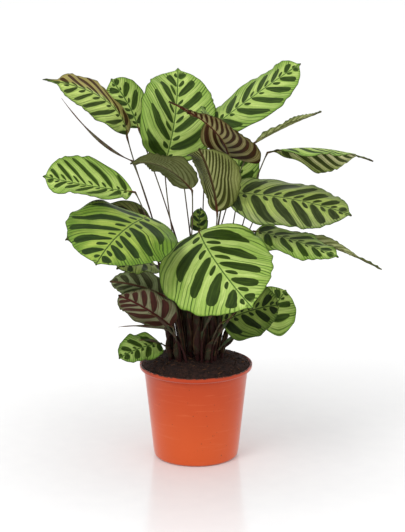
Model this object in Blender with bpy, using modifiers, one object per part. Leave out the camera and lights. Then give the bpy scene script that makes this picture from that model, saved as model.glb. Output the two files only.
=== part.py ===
"""Potted peacock plant: a plastic nursery pot, its potting soil, and a clump of patterned leaves.

Every leaf is two solids: a stalk that stands in its own hole in the soil, and a blade seated on the
end of that stalk. The origin is the centre of the pot's underside, +Z is up, and the side that the
photograph shows faces -Y. Lengths in the leaf list are millimetres; Blender's own are metres.
"""

import math
from collections import namedtuple

import bmesh
import bpy
from mathutils import Matrix, Vector, noise

MM = 0.001

# Pot: a thin moulded nursery pot with a rolled lip
POT_HEIGHT = 119 * MM
LIP_RADIUS = 70 * MM
LIP_HEIGHT = 6 * MM
LIP_INNER_RADIUS = 67.6 * MM
POT_TOP_RADIUS = 64.5 * MM
POT_BASE_RADIUS = 52.5 * MM
FOOT_ROUNDING = 4 * MM
POT_WALL = 1.2 * MM
POT_SIDES = 44
DRAIN_COUNT = 8
DRAIN_RADIUS = 3.5 * MM
DRAIN_SIDES = 9
DRAIN_RING_RADIUS = 38 * MM

# Soil: fills the pot to its lip and is heaped a little higher in the middle
CLEARANCE = 0.3 * MM
SOIL_TOP = 118 * MM
SOIL_HEAP = 9 * MM
SOIL_LUMP = 1.6 * MM
SOIL_LUMPS_PER_METRE = 70
SOIL_RINGS = 5
SOIL_RING_SPACING = 1.5
SOIL_SHOULDER = 6
SOIL_SIDES = 43
SOIL_WELD = 0.06 * MM

# Stalks: thick and sheathed at the foot, slim above, swollen again at the knee under the blade
STALK_DEPTH = 16 * MM
STALK_FOOT_RADIUS = 2.7 * MM
STALK_SHEATH_RADIUS = 2.0 * MM
STALK_SLIM_RADIUS = 0.95 * MM
STALK_KNEE_RADIUS = 1.4 * MM
STOUT_LEAST, STOUT_WIDTH = 0.55, 180
SHEATH_SHARE, SLIM_SHARE, KNEE_SHARE = 0.35, 0.5, 0.85
STALK_POINTS = 14
STALK_SPACING = 1.35
FOOT_RISE, FOOT_RISE_LEAST, FOOT_DRIFT = 0.3, 20 * MM, 0.15
NECK_DROP, NECK_DROP_MOST, NECK_DRIFT = 0.12, 15 * MM, 0.2
KNEE_LENGTH = 3 * MM
KNEE_CLEARANCE = 0.4 * MM
HOLE_CLEARANCE = 0.5 * MM
HOLE_SIDES = 8
SPEAR_POINTS = 8
SPEAR_TAIL, SPEAR_TAIL_RADIUS, SPEAR_LEAST_RADIUS = 0.75, 0.3, 0.76 * MM

# Blades: thin, with the midrib standing out below
BLADE_THICKNESS = 0.7 * MM
MIDRIB_THICKNESS = 1.9 * MM
MIDRIB_HALF_WIDTH = 1.6 * MM
BLADE_ROWS = 11
BLADE_COLUMNS = 6
BLADE_ROOT_HALF_WIDTH = 1.6 * MM
OUTLINE_SHOULDERS = 2.4
OUTLINE_ROUNDNESS = 0.62
POINT_LEAST, POINT_GAIN, POINT_REACH = 0.16, 1.6, 2.5
MARGIN_WAVES = 2.3
MARGIN_PHASES = (0.4, 2.0)
END_EASE = 5.0
LOBE_RISE = 4.5
ROOT_SPREAD = 0.35

Leaf = namedtuple("Leaf", "name foot knee tip bow width face fold curl swell lobe tail twist wave lean")
Spear = namedtuple("Spear", "name foot knee tip bow radius lean")


def leaf(name, foot, knee, tip, width, face, bow=(0, 0, 0), fold=(8, 8), curl=(0, 0),
         swell=0.85, lobe=4, tail=0.03, twist=0, wave=2.6, lean=(0, 0)):
    """One leaf. foot is where the stalk stands on the soil, knee where it meets the blade, tip the
    blade's end, and bow how far the middle of the midrib stands off the straight line between them.
    face is the way the upper side looks at mid length, and twist turns it along the blade. Each
    half, left then right seen from knee to tip, rises by fold degrees at the midrib and has turned
    curl degrees more at the margin. A swell under 1 puts the widest place nearer the knee, lobe is
    how far the margin reaches back past it, and tail the share of the length drawn out thin at the
    tip. lean moves the stalk's middle sideways."""
    return Leaf(name, foot, knee, tip, bow, width, face, fold, curl, swell, lobe, tail, twist,
                wave, lean)


LEAVES = (
    leaf("crown", (-8, 6), (-37, 0, 373), (-22, 55, 480), 100, (0, -0.9, 0.45),
         bow=(4, -12, -2), fold=(46, 2), curl=(-22, -16), swell=1.05),
    leaf("upper_right", (8, 16), (20, 25, 412), (128, 45, 487), 70, (-0.2, -0.8, 0.55),
         bow=(0, -2, 2), fold=(-30, 10), curl=(-8, -8), swell=1.0),
    leaf("underside_mid", (10, 0), (40, -8, 382), (-31, -82, 462), 92, (0.4, 0.6, 0.7),
         bow=(14, -12, 5), fold=(0, 46), swell=0.52, tail=0.28, lean=(-4, 6)),
    leaf("rolled_right", (16, 8), (73, 8, 397), (151, -5, 437), 11, (-0.2, -0.6, 0.75),
         bow=(0, 0, 2), fold=(46, 46), curl=(24, 24), swell=0.8, tail=0.1, wave=1.5,
         lean=(-21, 8)),
    leaf("folded_right", (26, 4), (91, 28, 381), (216, 4, 374), 60, (0, 0.4, 0.9),
         bow=(0, -2, 10), fold=(-50, -24), curl=(-8, -12), swell=1.8, lobe=8, tail=0.16, wave=3.5),
    leaf("broad_right", (18, -10), (40, -4, 336), (187, -48, 318), 86, (0, -0.6, 0.8),
         bow=(2, 0, 6), fold=(-12, 4), curl=(-16, -18)),
    leaf("low_right", (22, -18), (73, -8, 289), (172, -50, 267), 62, (0, -0.45, 0.9),
         bow=(-2, 0, 4), fold=(-14, 8), curl=(-12, -10), wave=3.5),
    leaf("low_spear", (32, -6), (90, 28, 274), (229, 0, 239), 19, (-0.2, -0.4, 0.9),
         bow=(0, 0, 10), fold=(42, 42), curl=(22, 22), swell=0.75, tail=0.2, wave=2),
    leaf("front", (2, -18), (4, -28, 293), (66, -160, 233), 142, (-0.3, -0.5, 0.8),
         bow=(-9, -10, 8), fold=(-16, -2), curl=(-14, -16), swell=0.8, lobe=12),
    leaf("broad_left", (-14, -12), (-58, -24, 311), (-115, -148, 282), 128, (0.1, -0.3, 0.95),
         bow=(-3, -8, 9), fold=(4, 14), curl=(-20, -10), swell=1.0, lobe=16),
    leaf("upper_left_low", (-28, 6), (-77, 2, 336), (-183, -35, 363), 74, (0.3, -0.75, 0.55),
         bow=(0, 0, -2), fold=(45, 2), swell=1.3, lean=(0, 8)),
    leaf("left_behind", (-16, 26), (-56, 34, 291), (-161, 8, 274), 60, (0.1, -0.85, 0.5),
         bow=(0, 0, 5), fold=(8, 8)),
    leaf("upper_left", (-10, 16), (-83, 4, 406), (-181, -35, 480), 60, (0.6, -0.65, 0.45),
         bow=(21, 4, 10), fold=(4, -30), curl=(-6, 0), swell=1.2, tail=0.1, wave=3.5,
         lean=(0, 6)),
    leaf("upper_left_rear", (-2, 22), (-70, 22, 411), (-104, 38, 469), 50, (-0.2, -0.95, 0.15),
         bow=(4, 0, 0), fold=(12, 12), swell=1.15, lean=(14, 0)),
    leaf("pale_underside", (-6, -6), (-6, -20, 345), (-78, -55, 383), 52, (-0.1, 0.45, 0.88),
         bow=(2, -4, 13), fold=(6, 6), curl=(10, 10), lean=(-9, 0)),
    leaf("centre_folded", (8, -10), (26, -20, 316), (4, -48, 400), 74, (0.25, 0.9, 0.3),
         bow=(4, 0, 0), fold=(4, 45), swell=1.5, lobe=14),
    leaf("centre_rear", (20, 18), (52, 34, 330), (54, 46, 399), 52, (0, -1, 0.2),
         bow=(0, -4, 3), fold=(8, 8)),
    leaf("small_dark", (1, -5), (4, 5, 286), (6, 0, 316), 22, (0, -1, 0.1), bow=(-1, 0, 0)),
    leaf("lower_left_high", (-32, -4), (-49, -10, 247), (-95, -62, 256), 44, (0.2, -0.5, 0.8),
         bow=(0, -4, 5), fold=(10, 10)),
    leaf("lower_left_mid", (-24, -10), (-38, -15, 209), (-104, -50, 237), 44, (-0.3, 0.8, 0.5),
         bow=(0, -4, 5), fold=(10, 10)),
    leaf("maroon_underside", (-22, -20), (-31, -20, 173), (-93, -65, 224), 54, (-0.15, 0.8, 0.6),
         bow=(0, -2, 4), fold=(8, 8)),
    leaf("small_low_left", (-32, -14), (-44, -20, 150), (-93, -68, 145), 42, (0.3, -0.5, 0.8),
         bow=(-1, -4, 4), fold=(6, 6)),
    leaf("low_right_front", (14, -26), (32, -25, 178), (103, -42, 205), 70, (-0.3, -0.85, 0.45),
         bow=(0, -3, 5), fold=(6, 6)),
    leaf("low_right_rear", (31, 13), (80, 5, 165), (112, 18, 208), 64, (0, -0.95, 0.3),
         fold=(6, 6), lobe=12, lean=(-8, 0)),
    leaf("back_left", (-27, 20), (-83, 60, 268), (-138, 155, 255), 84, (-0.3, 0.2, 0.93),
         bow=(-4, 2, 12)),
    leaf("back_centre", (8, 30), (-20, 50, 391), (-21, 160, 430), 82, (0, 0.1, 1),
         bow=(2, -4, 16)),
    leaf("back_right", (22, 29), (82, 55, 308), (161, 125, 292), 80, (0.3, 0.2, 0.93),
         bow=(0, 0, 14)),
    leaf("back_low", (10, 44), (8, 60, 150), (-6, 78, 246), 96, (0.1, 1, 0.1),
         bow=(0, 4, 2), swell=0.7),
)

# New leaves that are still rolled up: one thin body each, stalk and all
SPEARS = (
    Spear("dark_spear", (-20, 14), (-80, -6, 377), (-160, -26, 456), (0, 0, -10), 2.2, (0, 4)),
    Spear("thin_spear", (-12, -28), (-36, -22, 168), (-94, -60, 182), (0, 0, 3), 1.8, (0, 0)),
)


def clear_scene():
    for item in list(bpy.data.objects):
        bpy.data.objects.remove(item, do_unlink=True)


def new_collection(name):
    made = bpy.data.collections.new(name)
    bpy.context.scene.collection.children.link(made)
    return made


def principled(name, colour, roughness):
    material = bpy.data.materials.new(name)
    material.use_nodes = True
    shader = material.node_tree.nodes["Principled BSDF"]
    shader.inputs["Base Color"].default_value = (*colour, 1.0)
    shader.inputs["Roughness"].default_value = roughness
    shader.inputs["Metallic"].default_value = 0.0
    return material


def new_object(name, data, material, collection):
    made = bpy.data.objects.new(name, data)
    if material:
        made.data.materials.append(material)
    collection.objects.link(made)
    return made


def mesh_from(bm, name):
    mesh = bpy.data.meshes.new(name)
    bm.to_mesh(mesh)
    bm.free()
    return mesh


def turned(name, profile, sides, material, collection):
    """A profile of (radius, height) points, down the outer side, that a Screw modifier turns."""
    bm = bmesh.new()
    points = [bm.verts.new((radius, 0.0, height)) for radius, height in profile]
    for pair in zip(points, points[1:]):
        bm.edges.new(pair)
    item = new_object(name, mesh_from(bm, name), material, collection)
    screw = item.modifiers.new("turn", "SCREW")
    screw.steps = sides
    screw.render_steps = sides
    screw.use_merge_vertices = True
    screw.merge_threshold = 0.01 * MM
    screw.use_smooth_shade = True
    return item


def cut(target, cutters):
    modifier = target.modifiers.new("holes", "BOOLEAN")
    modifier.operation = "DIFFERENCE"
    modifier.operand_type = "COLLECTION"
    modifier.collection = cutters


def upright_cutter(name, place, radius, low, high, sides, collection):
    bm = bmesh.new()
    middle = Matrix.Translation((place[0], place[1], (low + high) / 2))
    bmesh.ops.create_cone(bm, cap_ends=True, segments=sides, radius1=radius, radius2=radius,
                          depth=high - low, matrix=middle)
    cutter = bpy.data.objects.new(name, mesh_from(bm, name))
    cutter.hide_render = True
    cutter.display_type = "WIRE"
    collection.objects.link(cutter)


def body_radius(height):
    """The outside of the pot's body, which widens evenly from base to lip."""
    slope = (POT_TOP_RADIUS - POT_BASE_RADIUS) / (POT_HEIGHT - LIP_HEIGHT)
    return POT_BASE_RADIUS + slope * height


def pot_profile():
    """Up the inside from the middle of the floor, over the lip, and down the outside."""
    body_top = POT_HEIGHT - LIP_HEIGHT
    inside = [
        (0, POT_WALL),
        (POT_BASE_RADIUS - FOOT_ROUNDING, POT_WALL),
        (body_radius(FOOT_ROUNDING) - POT_WALL, FOOT_ROUNDING + POT_WALL),
        (body_radius(body_top) - POT_WALL, body_top - 4 * MM),
        (LIP_INNER_RADIUS, POT_HEIGHT - 1.0 * MM),
    ]
    lip = [
        (LIP_RADIUS - 1.8 * MM, POT_HEIGHT),
        (LIP_RADIUS - 0.6 * MM, POT_HEIGHT - 0.6 * MM),
        (LIP_RADIUS, body_top + 2.5 * MM),
        (LIP_RADIUS - 1.2 * MM, body_top + 0.4 * MM),
    ]
    foot = [(POT_BASE_RADIUS - FOOT_ROUNDING * (1 - math.sin(a)),
             FOOT_ROUNDING * (1 - math.cos(a)))
            for a in (math.radians(90), math.radians(45), 0)]
    outside = [(body_radius(body_top - 2.5 * MM), body_top - 2.5 * MM), *foot, (0, 0)]
    return inside + lip + outside


def make_pot(parts, cutters):
    material = principled("terracotta_plastic", (0.62, 0.13, 0.035), 0.45)
    pot = turned("pot", pot_profile(), POT_SIDES, material, parts)
    for index in range(DRAIN_COUNT):
        angle = 2 * math.pi * (index + 0.5) / DRAIN_COUNT
        place = (DRAIN_RING_RADIUS * math.cos(angle), DRAIN_RING_RADIUS * math.sin(angle))
        upright_cutter(f"drain_{index:02d}", place, DRAIN_RADIUS, -POT_WALL, 2 * POT_WALL,
                       DRAIN_SIDES, cutters)
    cut(pot, cutters)


def soil_profile():
    """From the middle of the top to its edge, down beside the pot's wall, and in at the floor."""
    edge = LIP_INNER_RADIUS - 2 * CLEARANCE
    top = [(edge * (1 - (1 - ring / SOIL_RINGS) ** SOIL_RING_SPACING), SOIL_TOP)
           for ring in range(SOIL_RINGS + 1)]
    neck_height = POT_HEIGHT - LIP_HEIGHT - 4.5 * MM
    foot_height = FOOT_ROUNDING + 2 * POT_WALL
    side = [(body_radius(neck_height) - POT_WALL - CLEARANCE, neck_height),
            (body_radius(foot_height) - POT_WALL - 4 * CLEARANCE, foot_height),
            (POT_BASE_RADIUS - FOOT_ROUNDING - POT_WALL, POT_WALL + CLEARANCE),
            (0, POT_WALL + CLEARANCE)]
    return top + side


def make_soil(parts, cutters):
    """A turned body whose top is heaped a little above the lip and lumpy all over."""
    material = principled("potting_soil", (0.03, 0.018, 0.013), 0.95)
    plain = turned("soil_plain", soil_profile(), SOIL_SIDES, material, parts)
    bpy.context.view_layer.update()
    graph = bpy.context.evaluated_depsgraph_get()
    mesh = bpy.data.meshes.new_from_object(plain.evaluated_get(graph))
    bpy.data.objects.remove(plain)
    edge = max(vertex.co.xy.length for vertex in mesh.vertices)
    for vertex in mesh.vertices:
        if vertex.co.z > SOIL_TOP - MM:
            reach = vertex.co.xy.length / edge
            lump = noise.noise(vertex.co * SOIL_LUMPS_PER_METRE) * SOIL_LUMP
            vertex.co.z += (lump + SOIL_HEAP) * (1 - reach ** SOIL_SHOULDER)
    soil = new_object("soil", mesh, None, parts)
    cut(soil, cutters)
    weld = soil.modifiers.new("slivers", "WELD")
    weld.merge_threshold = SOIL_WELD


def bezier(points, t):
    """A point on the quadratic or cubic Bezier curve of these control points."""
    while len(points) > 1:
        points = [a.lerp(b, t) for a, b in zip(points, points[1:])]
    return points[0]


def midrib_controls(item):
    knee, tip = Vector(item.knee) * MM, Vector(item.tip) * MM
    middle = (knee + tip) / 2 + Vector(item.bow) * MM * 2
    return [knee, middle, tip]


def midrib_start(item):
    knee, middle, _ = midrib_controls(item)
    return (middle - knee).normalized()


def blade_share(item, u):
    """How far u has come from the knee to where the drawn-out tail begins."""
    return min(u / (1 - item.tail), 1.0)


def half_width(item, u):
    """Half the blade's width: broad from near the knee, rounded off, and drawn out to a point."""
    reach = blade_share(item, u) ** item.swell
    shape = (1 - abs(2 * reach - 1) ** OUTLINE_SHOULDERS) ** OUTLINE_ROUNDNESS
    point = (POINT_LEAST + POINT_GAIN * item.tail) * u * u * min((1 - u) / (POINT_REACH * item.tail), 1)
    shape = (shape ** 3 + point ** 3) ** (1 / 3)
    return max(item.width / 2 * MM * shape, BLADE_ROOT_HALF_WIDTH)


def section_frame(item, u):
    """The midrib's point at u, with the directions across the blade and out of its upper side."""
    knee, middle, tip = midrib_controls(item)
    along = ((middle - knee) * (1 - u) + (tip - middle) * u).normalized()
    face = Vector(item.face)
    face = (face - along * face.dot(along)).normalized()
    face.rotate(Matrix.Rotation(math.radians(item.twist) * (u - 0.5), 3, along))
    return bezier([knee, middle, tip], u), along.cross(face), face


def blade_point(item, u, v):
    """The upper surface at u from knee to tip and v from the left margin, -1, to the right, 1."""
    centre, across, face = section_frame(item, u)
    width = half_width(item, u)
    right = v > 0
    ease = min(1.0, END_EASE * u, END_EASE * (1 - blade_share(item, u)))
    fold, curl = math.radians(item.fold[right]) * ease, math.radians(item.curl[right]) * ease
    reach = abs(v)
    if abs(curl) < 1e-3:
        out, up = reach * math.cos(fold), reach * math.sin(fold)
    else:
        out = (math.sin(fold + curl * reach) - math.sin(fold)) / curl
        up = (math.cos(fold) - math.cos(fold + curl * reach)) / curl
    ripple = item.wave * MM * math.sin(math.pi * u) * v * v
    ripple *= math.sin(2 * math.pi * MARGIN_WAVES * u + MARGIN_PHASES[right] + item.width)
    side = 1 if right else -1
    back = across.cross(face) * item.lobe * MM * v * v * (1 - u) ** 2 * min(LOBE_RISE * u, 1)
    return centre + across * side * out * width + face * (up * width + ripple) + back


def column_places(item, u):
    """Where the grid's lines cross the blade at u: margins, mid halves, midrib edges and midrib."""
    rib = min(MIDRIB_HALF_WIDTH / half_width(item, u), 0.4)
    return -1.0, -0.6, -rib, 0.0, rib, 0.6, 1.0


def row_place(row):
    """How far along the blade a row of the grid lies: close together at both ends."""
    share = row / BLADE_ROWS
    return (1 - math.cos(math.pi * share)) / 2 + ROOT_SPREAD * share * (1 - share) ** 3


def blade_mesh(item):
    """A grid bent to the leaf's form, split into triangles before Solidify doubles it downwards.

    The grid comes out looking down, so its faces are turned over to look the upper side's way."""
    bm = bmesh.new()
    bmesh.ops.create_grid(bm, x_segments=BLADE_ROWS, y_segments=BLADE_COLUMNS, size=1.0)
    ribs = []
    for vertex in bm.verts:
        row = round((vertex.co.x + 1) / 2 * BLADE_ROWS)
        column = round((vertex.co.y + 1) / 2 * BLADE_COLUMNS)
        u = row_place(row)
        v = column_places(item, u)[column]
        vertex.co = blade_point(item, u, v)
        if v == 0:
            ribs.append(vertex.index)
    bmesh.ops.triangulate(bm, faces=bm.faces)
    bmesh.ops.reverse_faces(bm, faces=bm.faces)
    mesh = mesh_from(bm, item.name)
    mesh.shade_smooth()
    return mesh, ribs


def make_blade(item, parts, material):
    mesh, ribs = blade_mesh(item)
    blade = new_object(f"{item.name}_blade", mesh, material, parts)
    thick = blade.vertex_groups.new(name="midrib")
    thick.add(range(len(mesh.vertices)), 0.0, "REPLACE")
    thick.add(ribs, 1.0, "REPLACE")
    solid = blade.modifiers.new("thickness", "SOLIDIFY")
    solid.thickness = MIDRIB_THICKNESS
    solid.offset = -1.0
    solid.vertex_group = thick.name
    solid.thickness_vertex_group = BLADE_THICKNESS / MIDRIB_THICKNESS
    return blade


def stalk_path(item):
    """Straight up out of the soil, a long easy bend, and a short knee to meet the blade's end."""
    bottom = Vector((item.foot[0] * MM, item.foot[1] * MM, SOIL_TOP - STALK_DEPTH))
    foot = Vector((bottom.x, bottom.y, SOIL_TOP + SOIL_HEAP + MM))
    start = midrib_start(item)
    knee = Vector(item.knee) * MM
    if isinstance(item, Leaf):
        knee -= start * KNEE_CLEARANCE + section_frame(item, 0)[2] * MIDRIB_THICKNESS / 2
    neck = knee - start * KNEE_LENGTH
    way = neck - foot
    lean = Vector((item.lean[0] * MM, item.lean[1] * MM, 0))
    rise = max(way.z * FOOT_RISE, FOOT_RISE_LEAST)
    lower = foot + Vector((way.x * FOOT_DRIFT, way.y * FOOT_DRIFT, rise)) + lean
    drop = min(way.z * NECK_DROP, NECK_DROP_MOST)
    upper = neck - start * drop - way * NECK_DRIFT + lean / 2
    steps = [step / (STALK_POINTS - 3) for step in range(STALK_POINTS - 2)]
    curve = [bezier([foot, lower, upper, neck], 1 - (1 - step) ** STALK_SPACING) for step in steps]
    return [bottom] + curve + [knee]


def stoutness(item):
    """How stout the lower stalk is: full for a broad leaf, about half for a rolled one."""
    return min(STOUT_LEAST + item.width / STOUT_WIDTH, 1.0) if isinstance(item, Leaf) else STOUT_LEAST


def stalk_radius(item, share):
    """Sheathed up to about a third of its height, slim to the knee, a little swollen there."""
    foot, sheath = STALK_FOOT_RADIUS * stoutness(item), STALK_SHEATH_RADIUS * stoutness(item)
    if share < SHEATH_SHARE:
        return foot + (sheath - foot) * share / SHEATH_SHARE
    if share < SLIM_SHARE:
        middle = (share - SHEATH_SHARE) / (SLIM_SHARE - SHEATH_SHARE)
        return sheath + (STALK_SLIM_RADIUS - sheath) * middle
    return STALK_SLIM_RADIUS if share < KNEE_SHARE else STALK_KNEE_RADIUS


def tube(name, path, radii, material, parts):
    curve = bpy.data.curves.new(name, "CURVE")
    curve.dimensions = "3D"
    curve.bevel_depth = 1.0
    curve.bevel_resolution = 1
    curve.use_fill_caps = True
    spline = curve.splines.new("POLY")
    spline.points.add(len(path) - 1)
    for point, place, radius in zip(spline.points, path, radii):
        point.co = (*place, 1.0)
        point.radius = radius
    return new_object(name, curve, material, parts)


def make_stalk(item, parts, material):
    path = stalk_path(item)
    radii = [stalk_radius(item, index / (len(path) - 1)) for index in range(len(path))]
    return tube(f"{item.name}_stalk", path, radii, material, parts)


def make_spear(item, parts, material):
    """A stalk that runs on past its knee as a thin rolled blade."""
    path = stalk_path(item)
    radii = [stalk_radius(item, index / (len(path) - 1)) for index in range(len(path))]
    path.pop()
    radii.pop()
    for step in range(SPEAR_POINTS):
        share = step / (SPEAR_POINTS - 1)
        path.append(bezier(midrib_controls(item), share))
        swelling = math.sin(math.pi * share / SPEAR_TAIL) if share < SPEAR_TAIL else SPEAR_TAIL_RADIUS
        radii.append(max(item.radius * MM * swelling, SPEAR_LEAST_RADIUS))
    return tube(item.name, path, radii, material, parts)


def main():
    clear_scene()
    parts = new_collection("potted_peacock_plant")
    drains = new_collection("drain_cutters")
    holes = new_collection("stem_hole_cutters")
    green = principled("leaf_green", (0.25, 0.42, 0.09), 0.4)
    stem = principled("stalk_brown_green", (0.16, 0.12, 0.06), 0.5)
    make_pot(parts, drains)
    for item in LEAVES:
        make_blade(item, parts, green)
        make_stalk(item, parts, stem)
    for item in SPEARS:
        make_spear(item, parts, stem)
    for item in LEAVES + SPEARS:
        upright_cutter(f"{item.name}_hole", Vector(item.foot) * MM,
                       STALK_FOOT_RADIUS * stoutness(item) + HOLE_CLEARANCE,
                       SOIL_TOP - STALK_DEPTH - CLEARANCE, SOIL_TOP + 2 * SOIL_HEAP, HOLE_SIDES, holes)
    make_soil(parts, holes)


main()
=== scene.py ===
# %% [markdown]
# This lesson dresses a potted peacock plant. Each solid is then replaced by a finer piece of the
# same form, with a material that is worked out by formulas and not painted on an image.

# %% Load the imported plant
import math
import random
from collections import namedtuple

import bmesh
import bpy
from mathutils import Euler, Matrix, Vector, kdtree, noise


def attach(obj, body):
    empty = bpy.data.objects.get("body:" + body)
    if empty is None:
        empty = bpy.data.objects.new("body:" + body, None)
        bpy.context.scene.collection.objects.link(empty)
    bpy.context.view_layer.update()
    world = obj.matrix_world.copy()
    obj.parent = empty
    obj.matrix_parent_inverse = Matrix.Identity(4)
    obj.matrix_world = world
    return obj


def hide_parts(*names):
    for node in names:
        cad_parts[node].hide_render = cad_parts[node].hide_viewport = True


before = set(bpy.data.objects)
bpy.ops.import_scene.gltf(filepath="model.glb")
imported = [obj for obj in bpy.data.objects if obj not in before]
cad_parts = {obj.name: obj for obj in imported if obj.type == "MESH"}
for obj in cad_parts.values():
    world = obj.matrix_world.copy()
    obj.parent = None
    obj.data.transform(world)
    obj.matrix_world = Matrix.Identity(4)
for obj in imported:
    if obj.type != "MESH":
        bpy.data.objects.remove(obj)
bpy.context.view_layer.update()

MM = 0.001


def rounded(values):
    return tuple(round(value, 3) for value in values)


# %% [markdown]
# The photograph looks at the plant from a little above the lip of the pot, through a long lens
# that flattens it. The camera therefore stands two and a half metres off, tilted down by about
# fourteen degrees, and the lens is long enough to fill the frame with the plant.

# %% Camera
AIM = Vector((8.1, 0, 243)) * MM
CAMERA_DISTANCE = 2.5
CAMERA_ELEVATION = math.radians(14.2)
LENS_MM = 137.6
SENSOR_MM = 36


def add_object(name, data):
    made = bpy.data.objects.new(name, data)
    bpy.context.scene.collection.objects.link(made)
    return made


def facing(way):
    """The turn of a camera or lamp that looks this way."""
    return way.to_track_quat("-Z", "Y").to_euler()


camera_data = bpy.data.cameras.new("camera")
camera_data.lens = LENS_MM
camera_data.sensor_width = SENSOR_MM
camera = add_object("camera", camera_data)
back = Vector((0, -math.cos(CAMERA_ELEVATION), math.sin(CAMERA_ELEVATION)))
camera.location = AIM + back * CAMERA_DISTANCE
camera.rotation_euler = facing(-back)
bpy.context.scene.camera = camera
print("camera at", rounded(camera.location))

# %% [markdown]
# Materials are networks of nodes. Building them by hand is long, so one small class stands for a
# number or colour that changes over a surface. Arithmetic on it adds Math nodes, which lets a
# pattern be written as an ordinary formula.

# %% Shader formulas
def formula(operation, swapped=False):
    """A method that adds one Math node, with the field as its first value or its last."""
    def method(field, *values):
        values = (*values, field) if swapped else (field, *values)
        return field.net.node("ShaderNodeMath", {"operation": operation}, values)
    return method


class Field:
    """An output socket that can be used in a formula."""

    def __init__(self, net, socket):
        self.net, self.socket = net, socket

    __add__ = __radd__ = formula("ADD")
    __sub__ = formula("SUBTRACT")
    __rsub__ = formula("SUBTRACT", swapped=True)
    __mul__ = __rmul__ = formula("MULTIPLY")
    __truediv__ = formula("DIVIDE")
    __pow__ = formula("POWER")
    __abs__ = formula("ABSOLUTE")
    floor = formula("FLOOR")
    least = formula("MINIMUM")
    most = formula("MAXIMUM")
    above = formula("GREATER_THAN")


class Net:
    """A new material and the nodes that are added to it."""

    def __init__(self, name):
        self.material = bpy.data.materials.new(name)
        self.material.use_nodes = True
        self.tree = self.material.node_tree
        self.shader = self.tree.nodes["Principled BSDF"]

    def feed(self, socket, value):
        if isinstance(value, Field):
            self.tree.links.new(value.socket, socket)
        else:
            socket.default_value = value

    def node(self, kind, settings, values, output=0):
        made = self.tree.nodes.new(kind)
        for key, setting in settings.items():
            setattr(made, key, setting)
        for key, value in values.items() if isinstance(values, dict) else enumerate(values):
            self.feed(made.inputs[key], value)
        return Field(self, made.outputs[output])

    def smooth(self, value, painted_light_low, high):
        """0 at low and 1 at high, with a soft start and end; low may be the larger."""
        return self.node("ShaderNodeMapRange", {"interpolation_type": "SMOOTHSTEP"},
                         (value, painted_light_low, high, 0.0, 1.0))

    def blend(self, mask, first, second):
        return self.node("ShaderNodeMix", {"data_type": "RGBA"}, {0: mask, 6: first, 7: second}, 2)

    def layers(self, colour, *masked):
        """Colours laid over the first one in turn, each where its own mask is 1."""
        for mask, upper in masked:
            colour = self.blend(mask, colour, upper)
        return colour

    def darker(self, colour, share):
        """The colour times a grey that varies over the surface."""
        return self.node("ShaderNodeVectorMath", {"operation": "SCALE"}, {0: colour, "Scale": share})

    def part(self, vector, axis):
        return self.node("ShaderNodeSeparateXYZ", {}, (vector,), axis)

    def join(self, x, y, z):
        return self.node("ShaderNodeCombineXYZ", {}, (x, y, z))

    def place(self):
        return self.node("ShaderNodeTexCoord", {}, (), 3)

    def kept(self, name):
        """A number that the mesh keeps on each of its points."""
        return self.node("ShaderNodeAttribute", {"attribute_name": name}, (), 2)

    def grain(self, vector, scale, detail=2.0, roughness=0.5):
        return self.node("ShaderNodeTexNoise", {}, {"Vector": vector, "Scale": scale,
                                                    "Detail": detail, "Roughness": roughness})

    def drawn_out(self, vector, scales, detail=3.0):
        """Noise with a scale for each axis, long where the scale is small."""
        mapped = self.node("ShaderNodeMapping", {}, {"Vector": vector, "Scale": scales})
        return self.grain(mapped, 1.0, detail)

    def bump(self, height, depth, strength):
        return self.node("ShaderNodeBump", {}, {"Strength": strength, "Distance": depth,
                                                "Height": height})

    def finish(self, **inputs):
        """Feeds the shader; an underscore stands for the space in an input's name."""
        for key, value in inputs.items():
            self.feed(self.shader.inputs[key.replace("_", " ")], value)
        return self.material


def paint(red, green, blue):
    """A colour read on a screen, 0 to 255, as the linear light that a shader takes."""
    def linear(value):
        value /= 255
        return value / 12.92 if value <= 0.04045 else ((value + 0.055) / 1.055) ** 2.4
    return (linear(red), linear(green), linear(blue), 1.0)


print("white paper is", rounded(paint(253, 253, 253)))

# %% [markdown]
# The background is plain white paper. The camera looks down, so a flat floor that is wide enough
# fills the whole picture, and from any other side nothing stands in the way. Round the pot the
# paper is painted a little greyer, as painted shade, and its slight gloss gives the faint
# reflection under it.

# %% Paper floor
FLOOR_HALF = 25.0
PAPER_SHADE_FADE = (0.08, 0.6)


def mesh_from(bm, name):
    mesh = bpy.data.meshes.new(name)
    bm.to_mesh(mesh)
    bm.free()
    mesh.shade_smooth()
    return mesh


paper = bmesh.new()
bmesh.ops.create_grid(paper, x_segments=2, y_segments=2, size=FLOOR_HALF)
paper_mesh = mesh_from(paper, "paper_floor")
paper_object = add_object("paper_floor", paper_mesh)

net = Net("pale_paper")
place = net.place()
far = net.node("ShaderNodeVectorMath", {"operation": "LENGTH"}, (place,), 1)
# Painted shade: the paper is greyer near the pot and turns white further out.
paper_colour = net.layers(paint(226, 226, 227), (net.grain(place, 40.0), paint(232, 232, 232)),
                          (net.smooth(far, *PAPER_SHADE_FADE), paint(253, 253, 253)))
paper_mesh.materials.append(net.finish(Base_Color=paper_colour, Roughness=0.16,
                                       Specular_IOR_Level=0.4))
print("floor:", 2 * FLOOR_HALF, "metres across, palest from", PAPER_SHADE_FADE[1], "metres out")

# %% [markdown]
# The light in the photograph is soft and comes from all round, a little stronger from above and
# in front. A bright plain sky does most of it. Two wide lamps add the gentle shape on the leaves,
# and the soft shadow that the plant throws on the paper.

# %% Light
SKY_STRENGTH = 1.0

world = bpy.data.worlds.new("studio")
world.use_nodes = True
sky = world.node_tree.nodes["Background"]
sky.inputs["Color"].default_value = (1.0, 1.0, 1.0, 1.0)
sky.inputs["Strength"].default_value = SKY_STRENGTH
bpy.context.scene.world = world
bpy.context.scene.view_settings.view_transform = "Standard"


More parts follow.
